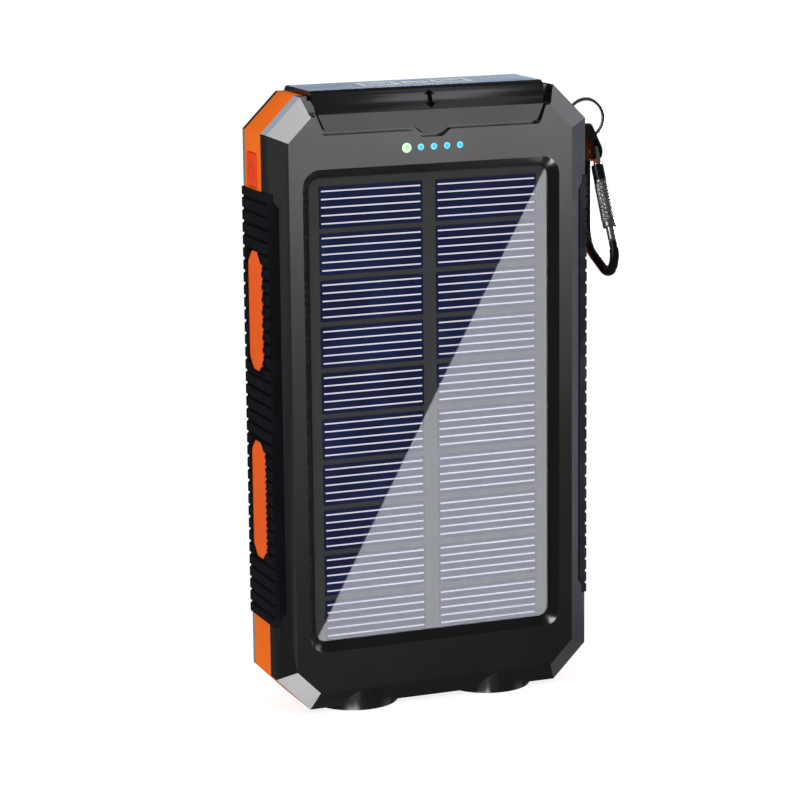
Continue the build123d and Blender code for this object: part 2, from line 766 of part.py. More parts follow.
with BuildPart() as torch_leds:
    with BuildSketch(Plane.XY.offset(torch_board_z - 0.7)):
        with Locations(*torch_points):
            Rectangle(3.5, 3.5)
    extrude(amount=0.7)


def reflector(x):
    """Bowl that widens from the lamp to the lens."""
    low = lens_high
    with BuildSketch(Plane.XZ.offset(torch_h)) as half:
        with BuildLine():
            Polyline((x + 2.6, reflector_top), (x + 3.1, reflector_top), (x + 7.1, low), (x + 6.5, low))
            ThreePointArc((x + 6.5, low), (x + 4.9, low + 4.2), (x + 2.6, reflector_top))
        make_face()
    revolve(half.sketch, axis=Axis((x, -torch_h, 0), (0, 0, 1)))


def lens(x):
    """Clear disc with a softened outer edge."""
    with BuildSketch(Plane.XY.offset(lens_low)) as disc:
        with Locations((x, -torch_h)):
            Circle(bore_r - 0.05)
    extrude(disc.sketch, amount=lens_high - lens_low)


with BuildPart() as torch_reflector_left:
    reflector(-torch_x)

with BuildPart() as torch_reflector_right:
    reflector(torch_x)

with BuildPart() as torch_lens_left:
    lens(-torch_x)
    fillet(torch_lens_left.edges().group_by(Axis.Z)[0], 0.4)

with BuildPart() as torch_lens_right:
    lens(torch_x)
    fillet(torch_lens_right.edges().group_by(Axis.Z)[0], 0.4)

# ---- torch leads: a pair of wires down the left side of the battery ---------------------
lead_r = 0.5
lead_route = [(-29.4, -7.6, 46.0), (-33.4, -8.2, 42.0), (-33.4, -8.2, -46.0), (-26.6, -9.6, -56.4),
              (-23.0, -9.6, -56.4)]

with BuildPart() as torch_leads:
    for shift in (0.0, 1.15):
        with BuildLine() as lead_line:
            FilletPolyline(*[(x, y - shift, z) for x, y, z in lead_route], radius=[3.0, 5.0, 2.5])
        with BuildSketch(Plane(lead_line.line @ 0, z_dir=lead_line.line % 0)):
            Circle(lead_r)
        sweep(path=lead_line.line)

# ---- compass -------------------------------------------------------------------------
compass_mouth = -plateau_t - 0.3
compass_floor = 2.2
dial_low, dial_high = 0.7, 1.2
pivot_r = 0.36
compass_bore = 6.8     # inside radius of the compass housing
jewel_r = 1.3

with BuildPart() as compass_housing:
    with BuildSketch(height_plane(compass_mouth)):
        with Locations((0, compass_z)):
            Circle(compass_r)
    extrude(amount=compass_floor + 0.6 - compass_mouth)
    fillet(compass_housing.faces().sort_by(Axis.Y)[-1].edges(), 0.25)
    with BuildSketch(height_plane(compass_mouth)):
        with Locations((0, compass_z)):
            Circle(compass_bore)
    extrude(amount=compass_floor - compass_mouth, mode=Mode.SUBTRACT)

with BuildPart() as compass_window:
    with BuildSketch(height_plane(compass_mouth + 0.15)):
        with Locations((0, compass_z)):
            Circle(compass_bore)
    extrude(amount=0.7)

with BuildPart() as compass_pivot:
    with BuildSketch(height_plane(dial_low + 0.05)):
        with Locations((0, compass_z)):
            Circle(pivot_r)
    extrude(amount=compass_floor - dial_low - 0.05)

with BuildPart() as compass_dial:
    with BuildSketch(height_plane(dial_low)):
        with Locations((0, compass_z)):
            Circle(6.35)
            Circle(jewel_r, mode=Mode.SUBTRACT)
    extrude(amount=dial_high - dial_low)

with BuildPart() as compass_jewel:
    with BuildSketch(height_plane(dial_low - 0.35)):
        with Locations((0, compass_z)):
            Circle(jewel_r)
    extrude(amount=dial_high - dial_low + 0.35)
    with BuildSketch(height_plane(dial_low)):
        with Locations((0, compass_z)):
            Circle(pivot_r + running_fit)
    extrude(amount=2, mode=Mode.SUBTRACT)

# ---- screws --------------------------------------------------------------------------
with BuildPart() as case_screws:
    with BuildSketch(height_plane(screw_head_low)):
        with Locations(*screw_points):
            Circle(screw_head_r)
    extrude(amount=screw_head_t)
    with BuildSketch(height_plane(screw_head_low)):
        with Locations(*screw_points):
            Rectangle(cross_l, cross_w)
            Rectangle(cross_w, cross_l)
    extrude(amount=cross_d, mode=Mode.SUBTRACT)
    with BuildSketch(height_plane(screw_head_low + screw_head_t - 0.1)):
        with Locations(*screw_points):
            Circle(screw_r)
    extrude(amount=screw_end - screw_head_low - screw_head_t + 0.1)

with BuildPart() as screw_caps:
    with BuildSketch(height_plane(0.05)):
        with Locations(*screw_points):
            Circle(screw_cap_r)
    extrude(amount=0.9)

# ---- split ring ----------------------------------------------------------------------
with BuildPart() as split_ring:
    with BuildSketch(Plane.YZ.offset(clip_x)):
        with Locations((-ring_h, ring_z + ring_r)):
            Circle(wire_r)
    revolve(axis=Axis((clip_x, -ring_h, ring_z), (0, 1, 0)))

# ---- carabiner -----------------------------------------------------------------------
# Drawn in Y and Z about the eye that hangs on the ring, nose towards the front.
eye_y = -ring_h
spine_y = eye_y - 0.5
spine_low = clip_z - 24.0
heel = (eye_y - 14.9, clip_z - 30.4)
toe = (eye_y - 15.5, clip_z - 23.9)
nose = (eye_y - 14.4, clip_z - 21.4)
rivet = (eye_y - 5.0, clip_z - 2.4)
head_t = 2.2
head_r = 2.7
knuckle_r = 1.7        # round end of the head at the rivet
tip_l = 2.2            # thin end of the body that the locking sleeve slides over
rod_r = 0.95
slot_t = 1.1
tab_t = 0.9
rivet_r = 0.5

gate_vector = Vector(0, rivet[0] - nose[0], rivet[1] - nose[1])
gate_dir = gate_vector.normalized()
nose_point = Vector(clip_x, nose[0], nose[1])


def along_gate(distance):
    """Plane across the gate, this far from the nose towards the rivet."""
    return Plane(nose_point + gate_dir * distance, x_dir=(1, 0, 0), z_dir=gate_dir)


with BuildPart() as carabiner_body:
    with BuildLine() as clip_line:
        FilletPolyline((clip_x, spine_y, clip_z - 3.0), (clip_x, spine_y, spine_low), (clip_x, *heel),
                       (clip_x, *toe), (clip_x, *nose), radius=[7.0, 3.9, 2.5])
    with BuildSketch(Plane(clip_line.line @ 0, z_dir=clip_line.line % 0)):
        Circle(bar_r)
    sweep(path=clip_line.line)
    with BuildSketch(Plane.YZ.offset(clip_x - head_t / 2)):
        with Locations((eye_y, clip_z + 0.6)):
            Circle(head_r)
        with Locations(rivet):
            Circle(knuckle_r)
        with Locations((spine_y, clip_z - 4.2)):
            Circle(bar_r)
        make_hull()
    extrude(amount=head_t)
    with BuildSketch(Plane.YZ.offset(clip_x - head_t)):
        with Locations((eye_y, clip_z)):
            Circle(eye_r)
    extrude(amount=2 * head_t, mode=Mode.SUBTRACT)
    # thin tip that the locking sleeve slides over
    with BuildSketch(along_gate(0.3)):
        Circle(3.0)
        Circle(rod_r - 0.02, mode=Mode.SUBTRACT)
    extrude(amount=-tip_l, mode=Mode.SUBTRACT)
    # slot for the gate's tab and room for it to swing
    with BuildSketch(Plane.YZ.offset(clip_x - slot_t / 2)):
        with Locations(rivet):
            Circle(2.4)
    extrude(amount=slot_t, mode=Mode.SUBTRACT)
    with BuildSketch(Plane.YZ.offset(clip_x - head_t)):
        with Locations(rivet):
            Circle(rivet_r)
    extrude(amount=2 * head_t, mode=Mode.SUBTRACT)

gate_l = gate_vector.length

with BuildPart() as gate_rivet:
    with BuildSketch(Plane.YZ.offset(clip_x - head_t / 2 - 0.2)):
        with Locations(rivet):
            Circle(rivet_r)
    extrude(amount=head_t + 0.4)

with BuildPart() as carabiner_gate:
    with BuildSketch(along_gate(0.35)):
        Circle(rod_r)
    extrude(amount=gate_l - 3.4)
    with BuildSketch(Plane.YZ.offset(clip_x - tab_t / 2)):
        with Locations(rivet):
            Circle(1.3)
        with Locations((rivet[0] - gate_dir.Y * 4.0, rivet[1] - gate_dir.Z * 4.0)):
            Circle(0.7)
        make_hull()
    extrude(amount=tab_t)
    with BuildSketch(Plane.YZ.offset(clip_x - tab_t)):
        with Locations(rivet):
            Circle(rivet_r + running_fit)
    extrude(amount=2 * tab_t, mode=Mode.SUBTRACT)

collar_r, sleeve_r = 1.5, 1.6
collar_from, collar_to = 14.3, 17.7
sleeve_from, sleeve_to = 3.3, 14.2

with BuildPart() as gate_collar:
    with BuildSketch(along_gate(collar_from)):
        Circle(collar_r)
        Circle(rod_r, mode=Mode.SUBTRACT)
    extrude(amount=collar_to - collar_from)

with BuildPart() as gate_sleeve:
    with BuildSketch(along_gate(sleeve_from)):
        Circle(sleeve_r)
        Circle(rod_r + running_fit, mode=Mode.SUBTRACT)
    extrude(amount=sleeve_to - sleeve_from)
    chamfer(gate_sleeve.edges().filter_by(GeomType.CIRCLE).sort_by(SortBy.RADIUS)[-2:], 0.2)

# ---- writing every piece ----------------------------------------------------------------
pieces = {
    "front_shell": front_shell, "rear_shell": rear_shell, "mid_frame": mid_frame,
    "grip_left": grip_left, "grip_right": grip_right, "grip_inlays_left": grip_inlays_left,
    "grip_inlays_right": grip_inlays_right, "solar_tape": solar_tape, "solar_board": solar_board,
    "solar_cells": solar_cells, "solar_lines": solar_lines, "solar_cover": solar_cover,
    "port_flap": port_flap, "flap_gasket": flap_gasket, "flap_hinge_pins": flap_hinge_pins,
    "power_button": power_button, "switch_plunger": switch_plunger, "tact_switch": tact_switch,
    "main_board": main_board, "usb_a_shells": usb_a_shells, "usb_a_tongues": usb_a_tongues,
    "micro_usb_shell": micro_usb_shell, "micro_usb_tongue": micro_usb_tongue,
    "micro_usb_riser": micro_usb_riser, "power_inductor": power_inductor,
    "control_chips": control_chips, "capacitors": capacitors, "indicator_leds": indicator_leds,
    "green_light_pipe": green_light_pipe, "blue_light_pipes": blue_light_pipes,
    "battery_cell_rear": battery_cell_rear, "battery_cell_front": battery_cell_front,
    "battery_pads": battery_pads, "battery_tabs": battery_tabs,
    "battery_protection_board": battery_protection_board, "torch_board": torch_board,
    "torch_leds": torch_leds, "torch_reflector_left": torch_reflector_left,
    "torch_reflector_right": torch_reflector_right, "torch_lens_left": torch_lens_left,
    "torch_lens_right": torch_lens_right, "torch_leads": torch_leads,
    "compass_housing": compass_housing, "compass_window": compass_window,
    "compass_pivot": compass_pivot, "compass_dial": compass_dial, "compass_jewel": compass_jewel,
    "case_screws": case_screws, "screw_caps": screw_caps, "split_ring": split_ring,
    "carabiner_body": carabiner_body, "gate_rivet": gate_rivet, "carabiner_gate": carabiner_gate,
    "gate_collar": gate_collar, "gate_sleeve": gate_sleeve,
}
for name, node in pieces.items():
    node.part.label = name
    export_step(node.part, f"parts/{name}.step")
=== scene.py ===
import math

import bmesh
import bpy
from mathutils import Matrix, Vector
from mathutils.bvhtree import BVHTree


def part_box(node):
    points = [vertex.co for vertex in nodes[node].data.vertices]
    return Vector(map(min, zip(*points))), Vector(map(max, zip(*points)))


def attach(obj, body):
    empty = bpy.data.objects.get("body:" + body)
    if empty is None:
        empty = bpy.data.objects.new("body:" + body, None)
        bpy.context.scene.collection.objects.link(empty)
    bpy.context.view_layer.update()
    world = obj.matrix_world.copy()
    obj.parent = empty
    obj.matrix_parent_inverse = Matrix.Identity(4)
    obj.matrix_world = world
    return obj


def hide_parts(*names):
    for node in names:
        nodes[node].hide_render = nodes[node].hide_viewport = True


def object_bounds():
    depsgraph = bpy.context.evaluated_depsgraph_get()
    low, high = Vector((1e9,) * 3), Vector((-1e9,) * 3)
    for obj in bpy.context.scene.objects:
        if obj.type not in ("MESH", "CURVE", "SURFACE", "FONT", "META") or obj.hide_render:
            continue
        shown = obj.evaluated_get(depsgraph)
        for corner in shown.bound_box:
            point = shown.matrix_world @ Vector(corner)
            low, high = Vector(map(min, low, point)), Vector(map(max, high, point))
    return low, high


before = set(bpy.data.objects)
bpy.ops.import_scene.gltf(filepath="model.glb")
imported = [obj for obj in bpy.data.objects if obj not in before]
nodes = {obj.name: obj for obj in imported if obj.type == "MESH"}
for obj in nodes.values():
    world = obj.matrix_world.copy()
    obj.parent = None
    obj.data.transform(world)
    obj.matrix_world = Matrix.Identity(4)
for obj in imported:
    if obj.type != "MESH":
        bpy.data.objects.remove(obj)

cad_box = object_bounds()
MM = 0.001

# Frame: X across the case, front face towards -Y, Z up towards the port end, in metres.
FLOOR_Z = cad_box[0].z


# ---- colours and node helpers ---------------------------------------------------------
def linear(code):
    """Linear red, green, blue and alpha of a hex colour such as "f2701c"."""
    shares = [int(code[i:i + 2], 16) / 255 for i in (0, 2, 4)]
    return [s / 12.92 if s <= 0.04045 else ((s + 0.055) / 1.055) ** 2.4 for s in shares] + [1.0]


class Finish:
    """A procedural material: one Principled shader with layers of variation added to it."""

    def __init__(self, name, colour, roughness, metallic=0.0, **sockets):
        self.material = bpy.data.materials.new(name)
        self.material.use_nodes = True
        self.tree = self.material.node_tree
        self.shader = self.tree.nodes["Principled BSDF"]
        self.colour = linear(colour)
        self.shader.inputs["Base Color"].default_value = self.colour
        self.shader.inputs["Roughness"].default_value = roughness
        self.shader.inputs["Metallic"].default_value = metallic
        for socket, value in sockets.items():
            self.shader.inputs[socket.replace("_", " ")].default_value = value
        self.place = self.tree.nodes.new("ShaderNodeTexCoord").outputs["Object"]

    def link(self, output, target):
        self.tree.links.new(output, target)

    def noise(self, scale, detail=3.0, stretch=(1, 1, 1)):
        """Noise from 0 to 1 over the piece, with this many cells per metre."""
        mapping = self.tree.nodes.new("ShaderNodeMapping")
        mapping.inputs["Scale"].default_value = stretch
        self.link(self.place, mapping.inputs["Vector"])
        texture = self.tree.nodes.new("ShaderNodeTexNoise")
        texture.inputs["Scale"].default_value = scale
        texture.inputs["Detail"].default_value = detail
        self.link(mapping.outputs["Vector"], texture.inputs["Vector"])
        return texture.outputs["Fac"]

    def ramp(self, output, low, high, to_low=0.0, to_high=1.0):
        """Maps low..high of an output to to_low..to_high."""
        node = self.tree.nodes.new("ShaderNodeMapRange")
        node.interpolation_type = "SMOOTHSTEP"
        self.link(output, node.inputs["Value"])
        for name, value in (("From Min", low), ("From Max", high), ("To Min", to_low), ("To Max", to_high)):
            node.inputs[name].default_value = value
        return node.outputs["Result"]

    def tint(self, factor, colour):
        """Mixes another colour over the base colour where factor is high."""
        mix = self.tree.nodes.new("ShaderNodeMix")
        mix.data_type = "RGBA"
        target = self.shader.inputs["Base Color"]
        if target.is_linked:
            self.link(target.links[0].from_socket, mix.inputs[6])
        else:
            mix.inputs[6].default_value = target.default_value
        mix.inputs[7].default_value = linear(colour)
        self.link(factor, mix.inputs[0])
        self.link(mix.outputs[2], target)
        return self

    def mottle(self, colour, scale, share=0.5):
        """Soft patches of a second colour."""
        return self.tint(self.ramp(self.noise(scale), 0.35, 0.7, 0.0, share), colour)

    def polish(self, low, high, scale):
        """Uneven gloss: roughness wanders between two values."""
        self.link(self.ramp(self.noise(scale, 5.0), 0.3, 0.7, low, high), self.shader.inputs["Roughness"])
        return self

    def grain(self, scale, depth, detail=2.0, stretch=(1, 1, 1)):
        """Moulded surface grain of this depth in metres."""
        return self.relief(self.noise(scale, detail, stretch), depth)

    def relief(self, height, depth):
        bump = self.tree.nodes.new("ShaderNodeBump")
        bump.inputs["Distance"].default_value = depth
        bump.inputs["Strength"].default_value = 1.0
        self.link(height, bump.inputs["Height"])
        target = self.shader.inputs["Normal"]
        if target.is_linked:
            self.link(target.links[0].from_socket, bump.inputs["Normal"])
        self.link(bump.outputs["Normal"], target)
        return self

    def wear(self, colour, share=0.6):
        """Edges rubbed to a lighter colour."""
        edges = self.tree.nodes.new("ShaderNodeNewGeometry").outputs["Pointiness"]
        rubbed = self.ramp(edges, 0.52, 0.62, 0.0, share)
        return self.tint(rubbed, colour)

    def stripes(self, pitch, width, colour, axis="X", share=1.0):
        """Thin straight lines of a colour across one axis of the frame."""
        split = self.tree.nodes.new("ShaderNodeSeparateXYZ")
        self.link(self.place, split.inputs["Vector"])
        wave = self.tree.nodes.new("ShaderNodeMath")
        wave.operation = "PINGPONG"
        self.link(split.outputs[axis], wave.inputs[0])
        wave.inputs[1].default_value = pitch / 2
        return self.tint(self.ramp(wave.outputs[0], width / 2, width / 2 * 0.4, 0.0, share), colour)


def glow(name, colour, core, strength):
    """A glowing piece: a saturated body with a paler middle patch. It serves the lit lenses and also the
    painted glow of the green compass print.
    """
    finish = Finish(name, colour, 0.25)
    finish.mottle(core, 900, 0.6)
    finish.shader.inputs["Emission Color"].default_value = linear(colour)
    finish.shader.inputs["Emission Strength"].default_value = strength
    return finish


# ---- finishes ----------------------------------------------------------------------------
def moulded_black(name, colour="0d0e0f", low=0.2, high=0.25):
    finish = Finish(name, colour, low)
    finish.mottle("111213", 60).wear("1c1d1f", 0.3)
    return finish.polish(low, high, 45).grain(5200, 4e-6)


def moulded_orange(name, colour, shade):
    finish = Finish(name, colour, 0.5, Specular_IOR_Level=0.08)
    finish.mottle(shade, 70, 0.35).wear("ff8a3a", 0.15)
    return finish.polish(0.46, 0.58, 90).grain(4800, 6e-6)


def ribbed_rubber():
    finish = Finish("grip_rubber", "07080b", 0.6, Specular_IOR_Level=0.06)
    finish.mottle("0d0f13", 150).wear("22252a", 0.4)
    return finish.polish(0.52, 0.68, 200).grain(3600, 1.5e-5, 4.0)


def solar_cell():
    finish = Finish("cell_navy", "000c38", 0.4, Specular_IOR_Level=0.1)
    finish.mottle("131d4a", 110, 0.7).stripes(1.15e-3, 9e-5, "1a2658", share=0.3)
    return finish.polish(0.3, 0.42, 300)


def clear(name, colour, roughness):
    finish = Finish(name, colour, roughness, Transmission_Weight=1.0, IOR=1.46)
    return finish.grain(260, 4e-8)


def window(name, colour, roughness):
    """Thin clear sheet that mirrors at its surface and doesn't bend what is seen through it."""
    finish = Finish(name, colour, roughness, Transmission_Weight=1.0, IOR=1.0, Coat_Weight=1.0,
                    Coat_Roughness=roughness, Coat_IOR=1.5)
    return finish.polish(roughness * 0.7, roughness * 1.4, 40)


def metal(name, colour, low, high, scale=400, depth=3e-6, shade="5c5e62"):
    finish = Finish(name, colour, low, 1.0)
    finish.mottle(shade, scale, 0.4)
    return finish.polish(low, high, scale * 2).grain(scale * 6, depth)


def plastic(name, colour, shade, roughness=0.45):
    finish = Finish(name, colour, roughness)
    finish.mottle(shade, 140)
    return finish.polish(roughness - 0.06, roughness + 0.08, 260).grain(4200, 5e-6)


def circuit_board():
    finish = plastic("board_green", "12502c", "1a6a3c", 0.4)
    return finish.stripes(2.4e-3, 3e-4, "2a8a52", "X", 0.6)


def foil():
    finish = metal("pouch_foil", "b4b7bb", 0.3, 0.45, 120, 2e-5, "8f9296")
    return finish.grain(300, 4e-5, 3.0)


finishes = {
    "shell_black": moulded_black("shell_black"),
    "flap_black": moulded_black("flap_black", "0e0f10", 0.22, 0.28),
    "frame_orange": moulded_orange("frame_orange", "ec6a02", "e26000"),
    "inlay_orange": moulded_orange("inlay_orange", "e25402", "d84c00"),
    "button_orange": moulded_orange("button_orange", "e6400c", "da3808"),
    "grip_rubber": ribbed_rubber(),
    "foam_tape": plastic("foam_tape", "1a1a1c", "262628", 0.85),
    "board_black": plastic("board_black", "343434", "383838", 0.5),
    "cell_navy": solar_cell(),
    "line_silver": plastic("line_silver", "e4e2ee", "d6d4e2", 0.5),
    "cover_clear": window("cover_clear", "ffffff", 0.006),
    "gasket_black": plastic("gasket_black", "121315", "1b1c1f", 0.7),
    "pin_steel": metal("pin_steel", "a9acb0", 0.22, 0.36),
    "switch_white": plastic("switch_white", "dcdad4", "cfccc4"),
    "switch_steel": metal("switch_steel", "9c9fa3", 0.28, 0.4),
    "board_green": circuit_board(),
    "board_white": plastic("board_white", "e8e8e2", "d8d8d0"),
    "socket_steel": metal("socket_steel", "b9bcc0", 0.22, 0.34),
    "tongue_black": plastic("tongue_black", "17181a", "202124"),
    "chip_black": plastic("chip_black", "1c1d1f", "26272a", 0.5),
    "capacitor_tan": plastic("capacitor_tan", "a8845a", "937048"),
    "led_white": plastic("led_white", "f2e06a", "f6ecb0", 0.4),
    "light_green": glow("light_green", "90e890", "bcf4bc", 0.55),
    "light_blue": glow("light_blue", "20a8d4", "60ccec", 0.5),
    "pouch_foil": foil(),
    "tab_nickel": metal("tab_nickel", "c3c2bb", 0.25, 0.38),
    "reflector_bright": metal("reflector_bright", "e6e8ea", 0.08, 0.16, 300, 1e-6, "d4d6d8"),
    "lens_clear": clear("lens_clear", "f6fbff", 0.03),
    "lead_red": plastic("lead_red", "b01c18", "8e1512"),
    "compass_black": plastic("compass_black", "0d0e10", "17181b", 0.4),
    "dial_black": plastic("dial_black", "08090a", "101113", 0.5),
    "jewel_brass": metal("jewel_brass", "c9a253", 0.2, 0.32, 800, 2e-6, "a88238"),
    "ring_steel": metal("ring_steel", "c4c6c9", 0.12, 0.22, 500, 1e-6, "8b8d91"),
    "clip_black": plastic("clip_black", "040405", "070708", 0.3),
    "gate_silver": metal("gate_silver", "d4d5d8", 0.14, 0.26, 500, 1e-6, "a9abb0"),
    "sleeve_silver": metal("sleeve_silver", "c8cacd", 0.18, 0.4, 1400, 6e-6, "3a3b3e"),
}

for name, part in nodes.items():
    slot_name = part.data.materials[0].name
    part.data.materials.clear()
    part.data.materials.append(finishes[slot_name].material)


# ---- softened edges on the CAD pieces ---------------------------------------------------
def soften(name, width, segments=2):
    """Rounds a CAD node's sharp edges."""
    weld = nodes[name].modifiers.new("weld", "WELD")
    weld.merge_threshold = 1e-6
    bevel = nodes[name].modifiers.new("round", "BEVEL")
    bevel.width = width
    bevel.segments = segments
    bevel.limit_method = "ANGLE"
    bevel.angle_limit = math.radians(20)
    bevel.use_clamp_overlap = True
    bevel.harden_normals = True


soft_edges = {"front_shell": 0.16, "rear_shell": 0.16, "mid_frame": 0.1, "port_flap": 0.14,
              "power_button": 0.08}
for name, width in soft_edges.items():
    soften(name, width * MM)

for name in ("solar_cover", "torch_lens_left", "torch_lens_right", "compass_window"):
    nodes[name].visible_shadow = False
    nodes[name].visible_diffuse = False


# ---- thin printed or moulded marks ---------------------------------------------------------
def circle_points(radius, count=40, centre=(0, 0), start=0.0, turn=2 * math.pi):
    """Points round a circle or an arc, in the mark's own two directions."""
    steps = count if turn >= 2 * math.pi - 1e-6 else count - 1
    return [(centre[0] + radius * math.cos(start + turn * i / steps),
             centre[1] + radius * math.sin(start + turn * i / steps)) for i in range(count)]


def rounded_box(width, height, radius, centre=(0, 0), steps=6):
    """Outline of a rectangle with round corners."""
    points = []
    for sx, sy, start in ((1, 1, 0), (-1, 1, 90), (-1, -1, 180), (1, -1, 270)):
        middle = (centre[0] + sx * (width / 2 - radius), centre[1] + sy * (height / 2 - radius))
        points += circle_points(radius, steps, middle, math.radians(start), math.pi / 2)
    return points


def sheet_mesh(name, shapes):
    """Flat mesh in local X and Y. A shape is a list of outlines: the first outside, the rest holes."""
    bm = bmesh.new()
    for outlines in shapes:
        edges = []
        for outline in outlines:
            ring = [bm.verts.new((u, v, 0)) for u, v in outline]
            edges += [bm.edges.new((a, b)) for a, b in zip(ring, ring[1:] + ring[:1])]
        bmesh.ops.triangle_fill(bm, edges=edges, use_beauty=True)
    mesh = bpy.data.meshes.new(name)
    bm.to_mesh(mesh)
    bm.free()
    return mesh


def onto(name, mesh, body, slot_name, origin, across, up, node, height, cuts=0, finish=None):
    """Lays a flat mark on a CAD node: local X runs along across and local Y along up."""
    across, up = Vector(across).normalized(), Vector(up).normalized()
    inward = -across.cross(up)
    tree = BVHTree.FromPolygons([v.co.copy() for v in nodes[node].data.vertices],
                                [tuple(p.vertices) for p in nodes[node].data.polygons])
    bm = bmesh.new()
    bm.from_mesh(mesh)
    if cuts:
        low = min(v.co.y for v in bm.verts)
        high = max(v.co.y for v in bm.verts)
        for i in range(1, cuts):
            level = low + (high - low) * i / cuts
            bmesh.ops.bisect_plane(bm, geom=bm.verts[:] + bm.edges[:] + bm.faces[:],
                                   plane_co=(0, level, 0), plane_no=(0, 1, 0))
    reach = 5 * MM
    for vertex in bm.verts:
        start = Vector(origin) + across * vertex.co.x + up * vertex.co.y - inward * reach
        hit = tree.ray_cast(start, inward, 4 * reach)[0]
        if hit is None:
            hit = Vector(start) + inward * reach
        vertex.co = hit - inward * height
    bottom = bmesh.ops.extrude_face_region(bm, geom=bm.faces[:])["geom"]
    for vertex in [g for g in bottom if isinstance(g, bmesh.types.BMVert)]:
        vertex.co += inward * (height + 0.03 * MM)
    bmesh.ops.recalc_face_normals(bm, faces=bm.faces[:])
    made = bpy.data.meshes.new(name)
    bm.to_mesh(made)
    bm.free()
    return piece(name, made, body, slot_name, finish)


def piece(name, mesh, body, slot_name, finish=None):
    """A new visible object that rides on a body."""
    thing = bpy.data.objects.new(name, mesh)
    bpy.context.scene.collection.objects.link(thing)
    mesh.materials.clear()
    mesh.materials.append((finish or finishes[slot_name]).material)
    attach(thing, body)
    return thing


def smooth(thing):
    for polygon in thing.data.polygons:
        polygon.use_smooth = True


# double arrow on the flap's hollow front strip
flap_low, flap_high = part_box("port_flap")
arrow_low, arrow_high = flap_high.z - 4.6 * MM, flap_high.z - 0.75 * MM
arrow_half, stem_half, head_rise = 1.35 * MM, 0.5 * MM, 1.05 * MM
arrow_mid = (arrow_low + arrow_high) / 2
arrow_reach = (arrow_high - arrow_low) / 2
upper = [(stem_half, 0), (stem_half, arrow_reach - head_rise), (arrow_half, arrow_reach - head_rise),
         (0, arrow_reach), (-arrow_half, arrow_reach - head_rise), (-stem_half, arrow_reach - head_rise)]
lower = [(-u, -v) for u, v in upper]
mark_black = plastic("mark_black", "050506", "08080a", 0.9)
mark_black.shader.inputs["Specular IOR Level"].default_value = 0.1
onto("double_arrow", sheet_mesh("double_arrow", [[upper + lower]]), "flap", "gasket_black",
     (0, flap_low.y, arrow_mid), (1, 0, 0), (0, 0, 1), "port_flap", 0.05 * MM, 14, mark_black)

# port symbols on top of the flap
stroke = 0.95 * MM
mark_white = plastic("mark_white", "eef2f6", "dfe5ea", 0.5)


def port_symbol(centre, width, height, radius, tongue):
    """Outline of a socket with its tongue inside."""
    ring = [rounded_box(width, height, radius, centre),
            rounded_box(width - 2 * stroke, height - 2 * stroke, max(radius - stroke, 0.15 * MM), centre)]
    bar = [rounded_box(tongue, stroke, 0.2 * MM, (centre[0], centre[1] + height * 0.12))]
    return [ring, bar]


symbols = []
for centre, width in ((-8.6 * MM, 8.6 * MM), (8.6 * MM, 8.6 * MM)):
    symbols += port_symbol((centre, 0), width, 6.4 * MM, 0.7 * MM, width * 0.5)
symbols += port_symbol((0, 0), 5.6 * MM, 4.4 * MM, 1.3 * MM, 2.2 * MM)
top_mid = (0, (flap_low.y + flap_high.y) / 2 + 0.6 * MM, flap_high.z)
onto("port_symbols", sheet_mesh("port_symbols", symbols), "flap", "switch_white",
     top_mid, (1, 0, 0), (0, 1, 0), "port_flap", 0.06 * MM, 0, mark_white)

# power mark on the button
button_low, button_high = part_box("power_button")
button_mid = (button_low.x, (button_low.y + button_high.y) / 2, (button_low.z + button_high.z) / 2)
ring_out, ring_in, gap = 1.9 * MM, 1.55 * MM, math.radians(38)
arc = circle_points(ring_out, 36, (0, 0), math.pi / 2 + gap, 2 * math.pi - 2 * gap)
arc += circle_points(ring_in, 36, (0, 0), math.pi / 2 + gap, 2 * math.pi - 2 * gap)[::-1]
bar = rounded_box(0.36 * MM, 2.0 * MM, 0.15 * MM, (0, 1.3 * MM))
mark_orange = moulded_orange("mark_orange", "b83408", "aa2e04")
onto("power_mark", sheet_mesh("power_mark", [[arc], [bar]]), "button", "button_orange",
     button_mid, (0, -1, 0), (0, 0, 1), "power_button", 0.05 * MM, 0, mark_orange)


# ---- indicator lenses -----------------------------------------------------------------------
def turned(name, profile, base, axis, body, slot_name, finish=None, steps=48):
    """Solid of revolution: profile is (radius, distance along axis) from base."""
    axis = Vector(axis).normalized()
    side = axis.orthogonal().normalized()
    other = axis.cross(side)
    bm = bmesh.new()
    rings = []
    for radius, along in profile:
        centre = Vector(base) + axis * along
        if radius < 1e-7:
            rings.append([bm.verts.new(centre)])
        else:
            rings.append([bm.verts.new(centre + side * radius * math.cos(2 * math.pi * i / steps)
                                       + other * radius * math.sin(2 * math.pi * i / steps))
                          for i in range(steps)])
    for a, b in zip(rings, rings[1:]):
        for i in range(steps):
            j = (i + 1) % steps
            if len(a) == 1:
                bm.faces.new((a[0], b[i], b[j]))
            elif len(b) == 1:
                bm.faces.new((a[i], b[0], a[j]))
            else:
                bm.faces.new((a[i], b[i], b[j], a[j]))
    bmesh.ops.recalc_face_normals(bm, faces=bm.faces[:])
    mesh = bpy.data.meshes.new(name)
    bm.to_mesh(mesh)
    bm.free()
    made = piece(name, mesh, body, slot_name, finish)
    smooth(made)
    return made


def dome(radius, rise):
    """Profile of a low round cap."""
    turns = [i / 6 * math.pi / 2 for i in range(7)]
    return [(0, -0.2 * MM), (radius, -0.2 * MM)] + [(radius * math.cos(t), rise * math.sin(t))
                                                   for t in turns[:-1]] + [(0, rise)]


def light_centres(node, count):
    low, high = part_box(node)
    radius = (high.z - low.z) / 2
    span = high.x - low.x - 2 * radius
    step = span / (count - 1) if count > 1 else 0
    return radius, [(low.x + radius + i * step, low.y, (low.z + high.z) / 2) for i in range(count)]


